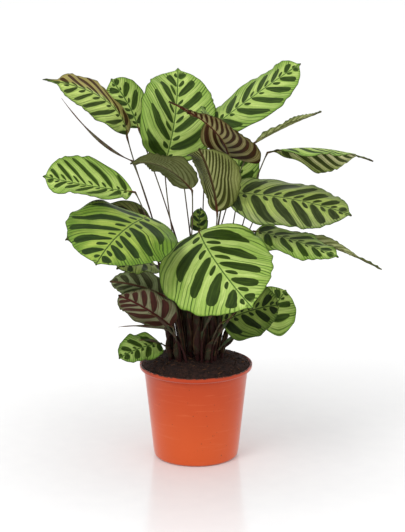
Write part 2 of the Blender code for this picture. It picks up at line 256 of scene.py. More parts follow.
def add_lamp(name, place, size, power):
    """A round lamp that faces the plant: its place and size in metres, its power in watts."""
    data = bpy.data.lights.new(name, "AREA")
    data.shape = "DISK"
    data.size = size
    data.energy = power
    lamp = add_object(name, data)
    lamp.location = place
    lamp.rotation_euler = facing(AIM - Vector(place))


add_lamp("key_lamp", (-1.1, -1.6, 2.2), 1.2, 27)
add_lamp("fill_lamp", (1.6, -1.8, 1.0), 1.6, 8)
print("sky", SKY_STRENGTH, "lamps", len(bpy.data.lights))

# %% [markdown]
# A new piece is a mesh object at the origin. It rides on the imported model's only body and
# stands for the solids that it replaces, which it hides.

# %% Pieces
piece_sizes = {}


def add_piece(name, mesh, slot, *nodes):
    mesh.name = name
    piece = add_object(name, mesh)
    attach(piece, "root")
    if nodes:
        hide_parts(*nodes)
    piece_sizes[name] = len(mesh.polygons)
    return piece


print("pieces so far:", len(piece_sizes))

# %% [markdown]
# The pot is one thin plastic moulding, so one drawn line describes it: its section, from the middle
# of the floor up the inside, over the rolled lip and down the outside. A cylinder could be pushed
# into this shape by hand, but a drawn section keeps the wall and the lip to the solid's measures.

# %% Pot section
POT_HEIGHT = 119 * MM
POT_WALL = 1.2 * MM
POT_TOP_RADIUS = 64.5 * MM
POT_BASE_RADIUS = 52.5 * MM
FOOT_ROUNDING = 4 * MM
LIP_RADIUS = 70 * MM
LIP_INNER_RADIUS = 67.6 * MM
LIP_HEIGHT = 6 * MM
LIP_BEAD = 1.0 * MM
LIP_UNDERSIDE_MM = ((0.1, 2.5), (0.5, 1.2), (1.4, 0.4), (3.2, -0.4))
NECK_DROPS = (4 * MM, 1.0 * MM)
NECK_STEP = 0.5 * MM
WALL_HEIGHTS_MM = (110.5, 90, 60, 30, 8)


def body_radius(height):
    """The outside of the pot's body, which widens evenly from base to lip."""
    slope = (POT_TOP_RADIUS - POT_BASE_RADIUS) / (POT_HEIGHT - LIP_HEIGHT)
    return POT_BASE_RADIUS + slope * height


def arc(middle, radius, first, last, count):
    """Points of (radius, height) along a rounded corner, between two angles in degrees."""
    turns = [math.radians(first + (last - first) * step / (count - 1)) for step in range(count)]
    return [(middle[0] + radius * math.cos(turn), middle[1] + radius * math.sin(turn))
            for turn in turns]


def pot_section():
    body_top = POT_HEIGHT - LIP_HEIGHT
    inside = [(0, POT_WALL), (POT_BASE_RADIUS - FOOT_ROUNDING, POT_WALL),
              (body_radius(FOOT_ROUNDING) - POT_WALL, FOOT_ROUNDING + POT_WALL),
              (body_radius(body_top) - POT_WALL, body_top - NECK_DROPS[0]),
              (LIP_INNER_RADIUS, POT_HEIGHT - LIP_BEAD)]
    lip = arc((LIP_RADIUS - LIP_BEAD, POT_HEIGHT - LIP_BEAD), LIP_BEAD, first=125, last=0, count=7)
    lip += [(LIP_RADIUS - inwards * MM, body_top + up * MM) for inwards, up in LIP_UNDERSIDE_MM]
    lip += [(body_radius(body_top) + NECK_STEP, body_top - NECK_DROPS[1])]
    wall = [(body_radius(height * MM), height * MM) for height in WALL_HEIGHTS_MM]
    foot = arc((POT_BASE_RADIUS - FOOT_ROUNDING, FOOT_ROUNDING), FOOT_ROUNDING,
               first=0, last=-90, count=8)
    return inside + lip + wall + foot + [(0, 0)]


print("points in the pot's section:", len(pot_section()))

# %% [markdown]
# The section is spun once round the upright axis, in many steps so that the lip stays round. Its
# ends lie on the axis, and merging them closes both poles. A real pot lets water out, so eight
# round holes are then cut through the floor with a Boolean.

# %% Pot shape
POT_STEPS = 144
DRAIN_COUNT, DRAIN_STEPS = 8, 24
DRAIN_RADIUS = 3.5 * MM
DRAIN_RING_RADIUS = 38 * MM
MERGE_DISTANCE = 0.01 * MM
SHARP_ANGLE = math.radians(50)


def closed(bm):
    """Points that coincide are merged, and then all faces are turned outwards."""
    bmesh.ops.remove_doubles(bm, verts=bm.verts, dist=MERGE_DISTANCE)
    bmesh.ops.recalc_face_normals(bm, faces=bm.faces)
    return bm


def spun(section, steps):
    bm = bmesh.new()
    points = [bm.verts.new((radius, 0, height)) for radius, height in section]
    for pair in zip(points, points[1:]):
        bm.edges.new(pair)
    bmesh.ops.spin(bm, geom=bm.verts[:] + bm.edges[:], cent=(0, 0, 0), axis=(0, 0, 1), dvec=(0, 0, 0),
                   angle=math.tau, steps=steps, use_merge=True, use_duplicate=False)
    return closed(bm)


def applied_mesh(item):
    """A mesh of the object as its modifier or its curve makes it."""
    bpy.context.view_layer.update()
    return bpy.data.meshes.new_from_object(item.evaluated_get(bpy.context.evaluated_depsgraph_get()))


def cut_holes(mesh, cutter_mesh):
    """The mesh with the cutter's shape taken away, and no helper object left behind."""
    body, cutter = add_object("cut_body", mesh), add_object("cutter", cutter_mesh)
    modifier = body.modifiers.new("holes", "BOOLEAN")
    modifier.operation = "DIFFERENCE"
    modifier.object = cutter
    result = applied_mesh(body)
    for item in (body, cutter):
        bpy.data.objects.remove(item)
    return result


drains = bmesh.new()
for index in range(DRAIN_COUNT):
    turn = math.tau * (index + 0.5) / DRAIN_COUNT
    place = Vector((DRAIN_RING_RADIUS * math.cos(turn), DRAIN_RING_RADIUS * math.sin(turn), 0))
    bmesh.ops.create_cone(drains, cap_ends=True, segments=DRAIN_STEPS, radius1=DRAIN_RADIUS,
                          radius2=DRAIN_RADIUS, depth=4 * POT_WALL, matrix=Matrix.Translation(place))
pot_mesh = cut_holes(mesh_from(spun(pot_section(), POT_STEPS), "pot"), mesh_from(drains, "drains"))
pot_mesh.set_sharp_from_angle(angle=SHARP_ANGLE)
add_piece("nursery_pot", pot_mesh, "terracotta_plastic", "pot")
print("pot faces:", piece_sizes["nursery_pot"])

# %% [markdown]
# The plastic is a warm orange with a soft gloss. What keeps it from looking like one flat colour
# is slight: the dye varies a little, rubbed marks run round the wall, fine scratches run across
# it, soil dust clings to the lip, and a few crumbs have stuck lower down. The wall is also
# painted lighter towards the base and darker in a band at the top, as painted light and shade.

# %% Pot finish
net = Net("orange_plastic")
place = net.place()
height = net.part(place, 2) / MM
dye = net.grain(place, 14.0, 3.0)
rubbed = net.drawn_out(place, (30, 30, 260), 4.0)
scratches = net.drawn_out(place, (300, 300, 40), 2.0)
specks = net.smooth(net.grain(place, 330.0, 1.0), 0.74, 0.78)
dust = net.smooth(height, 117.6, 118.8) * net.smooth(net.grain(place, 160.0, 3.0), 0.36, 0.56)
splash = net.smooth(net.grain(place, 90.0, 4.0), 0.62, 0.7) * net.smooth(height, 104.0, 117.0) * 0.35
# Painted light: the wall is painted lighter towards the base, with the dye's noise in its edge.
painted_light_low = net.smooth(height + (dye - 0.5) * 60, 110.0, 10.0)
pot_colour = net.layers(
    paint(178, 58, 12),
    (dye, paint(190, 68, 18)),
    (painted_light_low * 0.8, paint(212, 88, 34)),
    # Painted shade: a darker band round the top of the wall.
    (net.smooth(height, 106.0, 112.0), paint(178, 56, 10)),
    (net.smooth(rubbed, 0.55, 0.8) * 0.25, paint(214, 116, 74)),
    ((dust + splash + specks * 0.5).least(1.0), paint(58, 38, 28)))
pot_mesh.materials.clear()
pot_mesh.materials.append(net.finish(
    Normal=net.bump(dye * 0.4 + scratches * 0.25 + dust * 0.8, 0.4 * MM, 0.3),
    Base_Color=pot_colour, Roughness=0.3 + rubbed * 0.16 + dust * 0.4, Specular_IOR_Level=0.3,
    Sheen_Weight=0.42, Sheen_Roughness=0.35))
print("pot finish:", pot_mesh.materials[0].name, "nodes:", len(net.tree.nodes))

# %% [markdown]
# Potting mix is dark, matt and crumbly. The body of the soil is spun like the pot and heaped by
# the same formula as its solid, and finer noise roughens the top.

# %% Soil shape
CLEARANCE = 0.3 * MM
SOIL_TOP = 118 * MM
SOIL_HEAP = 9 * MM
SOIL_LUMP = 1.6 * MM
SOIL_LUMPS_PER_METRE = 70
FINE_LUMPS = ((0, 260, 0.9), (1, 620, 0.5))
SOIL_RINGS, SOIL_STEPS = 46, 160
SOIL_NECK, SOIL_HEEL = 108.5 * MM, 6.4 * MM

soil_edge = LIP_INNER_RADIUS - 2 * CLEARANCE


def soil_height(x, y):
    """The height of the soil's top over a point: a heap, lumps, and two sizes of fine lump."""
    reach = min(math.hypot(x, y) / soil_edge, 1.0)
    lump = noise.noise(Vector((x, y, SOIL_TOP)) * SOIL_LUMPS_PER_METRE) * SOIL_LUMP
    fine = sum(noise.noise(Vector((x, y, level)) * per_metre) * size * MM
               for level, per_metre, size in FINE_LUMPS)
    return SOIL_TOP + (lump + SOIL_HEAP) * (1 - reach ** 6) + fine * (1 - 0.7 * reach ** 4)


soil_section = [(soil_edge * ring / SOIL_RINGS, SOIL_TOP) for ring in range(SOIL_RINGS + 1)]
soil_section += [(body_radius(SOIL_NECK) - POT_WALL - CLEARANCE, SOIL_NECK),
                 (body_radius(SOIL_HEEL) - POT_WALL - 4 * CLEARANCE, SOIL_HEEL),
                 (POT_BASE_RADIUS - FOOT_ROUNDING - POT_WALL, POT_WALL + CLEARANCE),
                 (0, POT_WALL + CLEARANCE)]
soil_bm = spun(soil_section, SOIL_STEPS)
for vertex in soil_bm.verts:
    if vertex.co.z > SOIL_TOP - MM:
        vertex.co.z = soil_height(vertex.co.x, vertex.co.y)
soil = add_piece("potting_mix", mesh_from(soil_bm, "soil"), "potting_soil", "soil")
print("soil faces:", piece_sizes["potting_mix"])

# %% [markdown]
# Loose crumbs and chips of bark lie on the soil. They are rough balls and flat bevelled blocks of
# many sizes, scattered with seeded random numbers, so each run gives the same ones.

# %% Crumbs and bark
CRUMBS, CHIPS = 420, 60
CRUMB_SPREAD, CHIP_SPREAD = 0.985, 0.95
SMALL_CRUMB_MM, BIG_CRUMB_MM, BIG_CRUMB_EVERY = (0.5, 1.5), (1.5, 2.4), 9
CRUMB_STRETCH = ((0.8, 1.4), (0.7, 1.1), (0.5, 0.9))
CRUMB_SEAT = 0.15
CHIP_LENGTH_MM, CHIP_WIDTH, CHIP_TILT = (2.5, 6.0), (0.2, 0.4), 0.4
CHIP_SEAT = 0.4 * MM
CHIP_THICKNESS = 0.16
CHIP_BEVEL = 0.12 * MM


def scattered(spread):
    """An even random place on the soil, out to this share of its radius."""
    reach = soil_edge * math.sqrt(draw.random()) * spread
    turn = draw.random() * math.tau
    x, y = reach * math.cos(turn), reach * math.sin(turn)
    return x, y, soil_height(x, y)


draw = random.Random(11)
crumbs = bmesh.new()
for index in range(CRUMBS):
    x, y, top = scattered(CRUMB_SPREAD)
    size = draw.uniform(*(SMALL_CRUMB_MM if index % BIG_CRUMB_EVERY else BIG_CRUMB_MM)) * MM
    stretch = [draw.uniform(*span) for span in CRUMB_STRETCH]
    spin = Euler([draw.uniform(0, math.tau) for axis in range(3)]).to_matrix().to_4x4()
    where = Matrix.Translation((x, y, top + size * CRUMB_SEAT))
    bmesh.ops.create_icosphere(crumbs, subdivisions=1, radius=size,
                               matrix=where @ spin @ Matrix.Diagonal((*stretch, 1)))
soil_crumbs = add_piece("soil_crumbs", mesh_from(crumbs, "soil_crumbs"), "potting_soil")

chips = bmesh.new()
for index in range(CHIPS):
    x, y, top = scattered(CHIP_SPREAD)
    length = draw.uniform(*CHIP_LENGTH_MM) * MM
    stretch = (length, length * draw.uniform(*CHIP_WIDTH), length * CHIP_THICKNESS, 1)
    tilt = [draw.uniform(-CHIP_TILT, CHIP_TILT) for axis in range(2)]
    spin = Euler((*tilt, draw.uniform(0, math.tau)))
    where = Matrix.Translation((x, y, top + CHIP_SEAT))
    bmesh.ops.create_cube(chips, size=1.0,
                          matrix=where @ spin.to_matrix().to_4x4() @ Matrix.Diagonal(stretch))
bmesh.ops.bevel(chips, geom=chips.edges[:], offset=CHIP_BEVEL, offset_type="OFFSET", segments=1,
                profile=0.5, affect="EDGES", material=-1)
bark_chips = add_piece("bark_chips", mesh_from(chips, "bark_chips"), "potting_soil")
print("crumb and chip faces:", piece_sizes["soil_crumbs"], piece_sizes["bark_chips"])

# %% [markdown]
# Damp peat is almost black, with browner bits of bark in it. Two sizes of noise mix those
# colours, and a strong bump breaks up the light.

# %% Soil finish
def soil_material(name, dark, brown, bark_share):
    net = Net(name)
    place = net.place()
    coarse, fine = net.grain(place, 190.0, 6.0, 0.65), net.grain(place, 900.0, 4.0, 0.6)
    fleck = net.smooth(net.grain(place, 420.0, 1.0), 0.66, 0.72) * bark_share
    colour = net.layers(dark, (net.smooth(coarse, 0.35, 0.7), brown), (fleck, paint(112, 78, 50)))
    return net.finish(Normal=net.bump(coarse + fine * 0.6, 1.6 * MM, 0.9), Base_Color=colour,
                      Roughness=0.88 + fine * 0.1, Specular_IOR_Level=0.25)


for piece, name, dark, brown, bark_share in (
        (soil, "damp_peat", paint(26, 14, 12), paint(56, 35, 28), 0.4),
        (soil_crumbs, "peat_crumb", paint(30, 20, 17), paint(66, 44, 32), 0.3),
        (bark_chips, "bark_chip", paint(58, 38, 26), paint(104, 70, 44), 0.4)):
    piece.data.materials.append(soil_material(name, dark, brown, bark_share))
    print(name, "on", piece.name)

# %% [markdown]
# A peacock plant is a clump of leaves, each a blade on a thin stalk. The list gives every leaf
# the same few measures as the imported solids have: where its stalk stands and where blade and stalk
# meet, the tip, the width, and how the two halves fold and curl. The pieces made from the
# list then fit the solids that they replace.

# %% Leaf list
# Places are in millimetres and angles in degrees. Face is the way the upper side looks. Bow bends
# the midrib. Fold and curl are given for the left half and then the right. Swell moves the widest
# part, lobe draws the base back beside the stalk, and tail is the share of the length that is
# drawn out to the point. Wave is the height of the margin's waves, and lean pushes the stalk aside.
Leaf = namedtuple("Leaf", "name foot knee tip width face bow fold curl swell lobe tail wave lean",
                  defaults=((0, 0, 0), (8, 8), (0, 0), 0.85, 4, 0.03, 2.6, (0, 0)))
Spear = namedtuple("Spear", "name foot knee tip bow radius lean")

LEAVES = (
    Leaf("crown", (-8, 6), (-37, 0, 373), (-22, 55, 480), 100, (0, -0.9, 0.45),
         bow=(4, -12, -2), fold=(46, 2), curl=(-22, -16), swell=1.05),
    Leaf("upper_right", (8, 16), (20, 25, 412), (128, 45, 487), 70, (-0.2, -0.8, 0.55),
         bow=(0, -2, 2), fold=(-30, 10), curl=(-8, -8), swell=1.0),
    Leaf("underside_mid", (10, 0), (40, -8, 382), (-31, -82, 462), 92, (0.4, 0.6, 0.7),
         bow=(14, -12, 5), fold=(0, 46), swell=0.52, tail=0.28, lean=(-4, 6)),
    Leaf("rolled_right", (16, 8), (73, 8, 397), (151, -5, 437), 11, (-0.2, -0.6, 0.75),
         bow=(0, 0, 2), fold=(46, 46), curl=(24, 24), swell=0.8, tail=0.1, wave=1.5,
         lean=(-21, 8)),
    Leaf("folded_right", (26, 4), (91, 28, 381), (216, 4, 374), 60, (0, 0.4, 0.9),
         bow=(0, -2, 10), fold=(-50, -24), curl=(-8, -12), swell=1.8, lobe=8, tail=0.16, wave=3.5),
    Leaf("broad_right", (18, -10), (40, -4, 336), (187, -48, 318), 86, (0, -0.6, 0.8),
         bow=(2, 0, 6), fold=(-12, 4), curl=(-16, -18)),
    Leaf("low_right", (22, -18), (73, -8, 289), (172, -50, 267), 62, (0, -0.45, 0.9),
         bow=(-2, 0, 4), fold=(-14, 8), curl=(-12, -10), wave=3.5),
    Leaf("low_spear", (32, -6), (90, 28, 274), (229, 0, 239), 19, (-0.2, -0.4, 0.9),
         bow=(0, 0, 10), fold=(42, 42), curl=(22, 22), swell=0.75, tail=0.2, wave=2),
    Leaf("front", (2, -18), (4, -28, 293), (66, -160, 233), 142, (-0.3, -0.5, 0.8),
         bow=(-9, -10, 8), fold=(-16, -2), curl=(-14, -16), swell=0.8, lobe=12),
    Leaf("broad_left", (-14, -12), (-58, -24, 311), (-115, -148, 282), 128, (0.1, -0.3, 0.95),
         bow=(-3, -8, 9), fold=(4, 14), curl=(-20, -10), swell=1.0, lobe=16),
    Leaf("upper_left_low", (-28, 6), (-77, 2, 336), (-183, -35, 363), 74, (0.3, -0.75, 0.55),
         bow=(0, 0, -2), fold=(45, 2), swell=1.3, lean=(0, 8)),
    Leaf("left_behind", (-16, 26), (-56, 34, 291), (-161, 8, 274), 60, (0.1, -0.85, 0.5),
         bow=(0, 0, 5), fold=(8, 8)),
    Leaf("upper_left", (-10, 16), (-83, 4, 406), (-181, -35, 480), 60, (0.6, -0.65, 0.45),
         bow=(21, 4, 10), fold=(4, -30), curl=(-6, 0), swell=1.2, tail=0.1, wave=3.5,
         lean=(0, 6)),
    Leaf("upper_left_rear", (-2, 22), (-70, 22, 411), (-104, 38, 469), 50, (-0.2, -0.95, 0.15),
         bow=(4, 0, 0), fold=(12, 12), swell=1.15, lean=(14, 0)),
    Leaf("pale_underside", (-6, -6), (-6, -20, 345), (-78, -55, 383), 52, (-0.1, 0.45, 0.88),
         bow=(2, -4, 13), fold=(6, 6), curl=(10, 10), lean=(-9, 0)),
    Leaf("centre_folded", (8, -10), (26, -20, 316), (4, -48, 400), 74, (0.25, 0.9, 0.3),
         bow=(4, 0, 0), fold=(4, 45), swell=1.5, lobe=14),
    Leaf("centre_rear", (20, 18), (52, 34, 330), (54, 46, 399), 52, (0, -1, 0.2),
         bow=(0, -4, 3), fold=(8, 8)),
    Leaf("small_dark", (1, -5), (4, 5, 286), (6, 0, 316), 22, (0, -1, 0.1), bow=(-1, 0, 0)),
    Leaf("lower_left_high", (-32, -4), (-49, -10, 247), (-95, -62, 256), 44, (0.2, -0.5, 0.8),
         bow=(0, -4, 5), fold=(10, 10)),
    Leaf("lower_left_mid", (-24, -10), (-38, -15, 209), (-104, -50, 237), 44, (-0.3, 0.8, 0.5),
         bow=(0, -4, 5), fold=(10, 10)),
    Leaf("maroon_underside", (-22, -20), (-31, -20, 173), (-93, -65, 224), 54, (-0.15, 0.8, 0.6),
         bow=(0, -2, 4), fold=(8, 8)),
    Leaf("small_low_left", (-32, -14), (-44, -20, 150), (-93, -68, 145), 42, (0.3, -0.5, 0.8),
         bow=(-1, -4, 4), fold=(6, 6)),
    Leaf("low_right_front", (14, -26), (32, -25, 178), (103, -42, 205), 70, (-0.3, -0.85, 0.45),
         bow=(0, -3, 5), fold=(6, 6)),
    Leaf("low_right_rear", (31, 13), (80, 5, 165), (112, 18, 208), 64, (0, -0.95, 0.3),
         fold=(6, 6), lobe=12, lean=(-8, 0)),
    Leaf("back_left", (-27, 20), (-83, 60, 268), (-138, 155, 255), 84, (-0.3, 0.2, 0.93),
         bow=(-4, 2, 12)),
    Leaf("back_centre", (8, 30), (-20, 50, 391), (-21, 160, 430), 82, (0, 0.1, 1),
         bow=(2, -4, 16)),
    Leaf("back_right", (22, 29), (82, 55, 308), (161, 125, 292), 80, (0.3, 0.2, 0.93),
         bow=(0, 0, 14)),
    Leaf("back_low", (10, 44), (8, 60, 150), (-6, 78, 246), 96, (0.1, 1, 0.1),
         bow=(0, 4, 2), swell=0.7),
)

SPEARS = (
    Spear("dark_spear", (-20, 14), (-80, -6, 377), (-160, -26, 456), (0, 0, -10), 2.2, (0, 4)),
    Spear("thin_spear", (-12, -28), (-36, -22, 168), (-94, -60, 182), (0, 0, 3), 1.8, (0, 0)),
)
print("leaves:", len(LEAVES), "rolled leaves:", len(SPEARS))

# %% [markdown]
# A blade is bent along its midrib, and each half rises and curls away from it. Working that
# out as a formula of two numbers, how far along the leaf and how far across, gives one smooth
# surface that a grid of any fineness can be laid on.

# %% Leaf form
MIDRIB_THICKNESS = 1.9 * MM
MIDRIB_HALF_WIDTH = 1.6 * MM
BLADE_ROOT_HALF_WIDTH = 1.6 * MM
BLADE_TIP_HALF_WIDTH = 0.35 * MM
BLADE_TIP_FROM = 0.8
OUTLINE_SHOULDERS = 2.4
OUTLINE_ROUNDNESS = 0.62
POINT_LEAST, POINT_GAIN, POINT_REACH = 0.16, 1.6, 2.5
MARGIN_WAVES = 2.3
MARGIN_PHASES = (0.4, 2.0)
END_EASE = 5.0
LOBE_RISE = 4.5
ROOT_SPREAD = 0.35


def ease(value, painted_light_low, high):
    share = min(max((value - painted_light_low) / (high - painted_light_low), 0.0), 1.0)
    return share * share * (3 - 2 * share)


def bezier(points, t):
    """A point on the Bezier curve of these control points."""
    while len(points) > 1:
        points = [a.lerp(b, t) for a, b in zip(points, points[1:])]
    return points[0]


def midrib_controls(item):
    knee, tip = Vector(item.knee) * MM, Vector(item.tip) * MM
    return [knee, (knee + tip) / 2 + Vector(item.bow) * MM * 2, tip]


def midrib_start(item):
    knee, middle, _ = midrib_controls(item)
    return (middle - knee).normalized()


def blade_share(item, u):
    """How far u has come from the knee to where the drawn-out tail begins."""
    return min(u / (1 - item.tail), 1.0)


def half_width(item, u):
    """Half the blade's width: broad from near the knee, rounded off, and drawn out to a point."""
    reach = blade_share(item, u) ** item.swell
    shape = (1 - abs(2 * reach - 1) ** OUTLINE_SHOULDERS) ** OUTLINE_ROUNDNESS
    point = (POINT_LEAST + POINT_GAIN * item.tail) * u * u * min((1 - u) / (POINT_REACH * item.tail), 1)
    shape = (shape ** 3 + point ** 3) ** (1 / 3)
    narrowing = (BLADE_TIP_HALF_WIDTH - BLADE_ROOT_HALF_WIDTH) * ease(u, BLADE_TIP_FROM, 1.0)
    return max(item.width / 2 * MM * shape, BLADE_ROOT_HALF_WIDTH + narrowing)


def section_frame(item, u):
    """The midrib's point at u, with the directions across the blade and out of its upper side."""
    knee, middle, tip = midrib_controls(item)
    along = ((middle - knee) * (1 - u) + (tip - middle) * u).normalized()
    face = Vector(item.face)
    face = (face - along * face.dot(along)).normalized()
    return bezier([knee, middle, tip], u), along.cross(face), face


def blade_point(item, u, v):
    """The upper surface at u from knee to tip and v from the left margin, -1, to the right, 1."""
    centre, across, face = section_frame(item, u)
    width = half_width(item, u)
    right = v > 0
    flat = min(1.0, END_EASE * u, END_EASE * (1 - blade_share(item, u)))
    fold, curl = math.radians(item.fold[right]) * flat, math.radians(item.curl[right]) * flat
    reach = abs(v)
    if abs(curl) < 1e-3:
        out, up = reach * math.cos(fold), reach * math.sin(fold)
    else:
        out = (math.sin(fold + curl * reach) - math.sin(fold)) / curl
        up = (math.cos(fold) - math.cos(fold + curl * reach)) / curl
    ripple = item.wave * MM * math.sin(math.pi * u) * v * v
    ripple *= math.sin(2 * math.pi * MARGIN_WAVES * u + MARGIN_PHASES[right] + item.width)
    side = 1 if right else -1
    back = across.cross(face) * item.lobe * MM * v * v * (1 - u) ** 2 * min(LOBE_RISE * u, 1)
    return centre + across * side * out * width + face * (up * width + ripple) + back


blade_lengths = {item.name: (Vector(item.tip) - Vector(item.knee)).length for item in LEAVES}
print("longest blade:", round(max(blade_lengths.values())), "mm")

# %% [markdown]
# The peacock pattern follows the side veins. They leave the midrib at a slant and run towards the
# tip, and they fan out wider near the stalk. One number, the vein number, grows from vein to
# vein all over the leaf. The same formula is used here to pleat the mesh, and later in the
# material to place the ovals, so the folds and the colours agree.

# %% Leaf looks
# A look gives the side veins on one half of the blade, how far forward they run for each step
# outwards, a shift of the pattern, the names of the paints for the two sides, how light or dark
# this leaf is, partly its own tone and partly painted shade for leaves low or deep in the clump,
# how the length and width of the ovals on its right half differ, and how much of the underside's
# brown that half shows.
Look = namedtuple("Look", "veins sweep shift upper under tone right_reach right_fat right_brown",
                  defaults=(1.0, 1.0, 1.0, 0.0))

LOOKS = {
    "crown": Look(5.4, 0.95, 0.10, "lime", "tan", 0.97),
    "upper_right": Look(6.2, 0.95, 0.30, "lime", "tan", 1.0, 1.12, 0.9),
    "underside_mid": Look(14, 1.2, 0.55, "lime", "cream", 0.84),
    "rolled_right": Look(9, 3.2, 0.20, "grey", "olive", 1.75),
    "folded_right": Look(9, 1.3, 0.40, "lime", "ivory", 1.1),
    # This leaf's greyish haze is a painted sheen.
    "broad_right": Look(6.4, 0.95, 0.75, "gloss", "tan", 0.95, 1.1, 1.0),
    "low_right": Look(5.4, 0.95, 0.15, "lime", "tan", 1.0),
    "low_spear": Look(9, 3.0, 0.35, "grey", "olive", 1.9),
    "front": Look(5, 0.8, 0.05, "pale", "tan", 0.89),
    "broad_left": Look(5.6, 0.8, 0.60, "deep", "tan", 0.97, 1.18, 0.8),
    "upper_left_low": Look(6.8, 1.05, 0.45, "lime", "tan", 1.12, 1.18, 0.72),
    "left_behind": Look(6, 0.9, 0.80, "brown", "tan"),
    "upper_left": Look(7, 1.1, 0.25, "cream_green", "cream", 1.0, 1.0, 1.2, 0.8),
    "upper_left_rear": Look(4, 0.8, 0.50, "lime", "tan"),
    "pale_underside": Look(11, 2.6, 0.15, "lime", "olive", 0.95),
    "centre_folded": Look(9, 2.4, 0.65, "deep", "striped", 1.18),
    "centre_rear": Look(4, 0.8, 0.35, "lime", "tan"),
    "small_dark": Look(3, 0.8, 0.20, "deep", "tan", 0.6),
    "lower_left_high": Look(3, 0.9, 0.55, "cream_green", "tan"),
    "lower_left_mid": Look(5, 1.1, 0.10, "lime", "grey", 1.75),
    "maroon_underside": Look(6, 1.0, 0.45, "lime", "maroon", 0.92),
    "small_low_left": Look(4, 0.8, 0.30, "green", "tan", 1.05),
    # This leaf's paint is painted shade, darker than its own colour.
    "low_right_front": Look(4, 0.85, 0.70, "painted_shade_green", "tan", 1.0),
    "low_right_rear": Look(3, 0.8, 0.25, "lime", "tan", 1.15),
    "back_left": Look(6, 0.9, 0.35, "lime", "tan"),
    "back_centre": Look(6, 0.9, 0.15, "lime", "tan"),
    "back_right": Look(6, 0.9, 0.65, "lime", "tan"),
    # This leaf's underside is painted dark, as painted shade among the stalks.
    "back_low": Look(5, 0.9, 0.45, "green", "painted_shade_under"),
}
FAN_LEAST, FAN_REACH = 0.25, 0.5
SWEEP_STRAIGHT, SWEEP_BENT = 0.85, 0.22


def vein_number(item, look, u, side, right):
    """Grows by one from side vein to side vein; side goes from the midrib, 0, to the margin, 1."""
    fan = FAN_LEAST + (1 - FAN_LEAST) * min(u / FAN_REACH, 1.0)
    outwards = side * half_width(item, u) / MM / blade_lengths[item.name]
    drift = look.sweep * fan * outwards * (SWEEP_STRAIGHT + SWEEP_BENT * side)
    return (u - drift) * look.veins + 0.5 * right + look.shift


assert set(LOOKS) == {item.name for item in LEAVES}
print("veins on the front leaf:", LOOKS["front"].veins, "a side")

# %% [markdown]
# Each blade is laid on a fine grid, with its lines close together at both ends and beside the
# midrib. The skin is quilted between the side veins, and the margin is slightly scalloped by
# them. Solidify gives the blade its thickness downwards, more of it under the midrib, which stands
# out as a round ridge on the underside. It also gives the underside a material of its own.

# %% Blades
BLADE_ROWS = 64
SIDE_COLUMNS = 14
RIB_PLACES = (0.3, 0.55, 0.78, 1.0)
BLADE_THICKNESS = 0.55 * MM
PLEAT = 0.5 * MM
PLEAT_EASE, PLEAT_REACH = 6, 1.1
MARGIN_FRILL = 0.9 * MM
FRILLS_PER_VEIN = 1.5
MARGIN_SCALLOP = 0.022


def column_places(item, u):
    """Where the grid's lines cross one half of the blade, from the midrib to the margin."""
    rib = min(MIDRIB_HALF_WIDTH / half_width(item, u), 0.4)
    rest = [rib + (1 - rib) * (step + 1) / SIDE_COLUMNS for step in range(SIDE_COLUMNS)]
    return [0.0] + [rib * place for place in RIB_PLACES] + rest


def row_place(row):
    share = row / BLADE_ROWS
    return (1 - math.cos(math.pi * share)) / 2 + ROOT_SPREAD * share * (1 - share) ** 3


def pleat(item, look, u, v):
    """How far the skin is lifted between the side veins, and the small frill of the margin."""
    side = abs(v)
    number = vein_number(item, look, u, side, v > 0)
    ends = min(1.0, PLEAT_EASE * u, PLEAT_EASE * (1 - u))
    quilt = PLEAT * math.cos(2 * math.pi * number) * math.sin(math.pi * min(side * PLEAT_REACH, 1.0))
    frill = MARGIN_FRILL * side ** 6
    frill *= math.sin(2 * math.pi * number * FRILLS_PER_VEIN + 3 * item.bow[0])
    return (quilt + frill) * ends


def scalloped(item, look, u, v):
    """v, moved a little in or out near the margin, so that the outline follows the side veins."""
    number = vein_number(item, look, u, abs(v), v > 0)
    scallop = MARGIN_SCALLOP * abs(v) ** 8 * math.cos(2 * math.pi * number)
    return v * (1 + scallop * min(1.0, 5 * (1 - u)))


def blade_grid(item, look):
    half = len(RIB_PLACES) + SIDE_COLUMNS
    bm = bmesh.new()
    bmesh.ops.create_grid(bm, x_segments=BLADE_ROWS, y_segments=2 * half, size=1.0)
    spread = bm.verts.layers.float.new("half_width")
    ridge = bm.verts.layers.float.new("ridge")
    chart = bm.loops.layers.uv.new("leaf")
    chart_places = {}
    for vertex in bm.verts:
        row = round((vertex.co.x + 1) / 2 * BLADE_ROWS)
        column = round((vertex.co.y + 1) * half) - half
        u = row_place(row)
        v = math.copysign(column_places(item, u)[abs(column)], column)
        face = section_frame(item, u)[2]
        vertex.co = blade_point(item, u, scalloped(item, look, u, v)) + face * pleat(item, look, u, v)
        width = half_width(item, u)
        vertex[spread] = width / MM
        vertex[ridge] = math.sqrt(max(1 - (abs(v) * width / MIDRIB_HALF_WIDTH) ** 2, 0.0))
        chart_places[vertex] = (u, (v + 1) / 2)
    for flat in bm.faces:
        for loop in flat.loops:
            loop[chart].uv = chart_places[loop.vert]
    bmesh.ops.reverse_faces(bm, faces=bm.faces)
    return bm


def add_blade(item):
    look = LOOKS[item.name]
    mesh = mesh_from(blade_grid(item, look), "blade")
    blade = add_piece(f"{item.name}_leaf", mesh, "leaf_green", f"{item.name}_blade")
    group = blade.vertex_groups.new(name="midrib")
    for vertex, share in zip(mesh.vertices, mesh.attributes["ridge"].data):
        group.add([vertex.index], share.value, "REPLACE")
    solid = blade.modifiers.new("thickness", "SOLIDIFY")
    solid.thickness = MIDRIB_THICKNESS
    solid.offset = -1.0
    solid.vertex_group = group.name
    solid.thickness_vertex_group = BLADE_THICKNESS / MIDRIB_THICKNESS
    solid.material_offset = 1
    solid.material_offset_rim = 1
    return blade


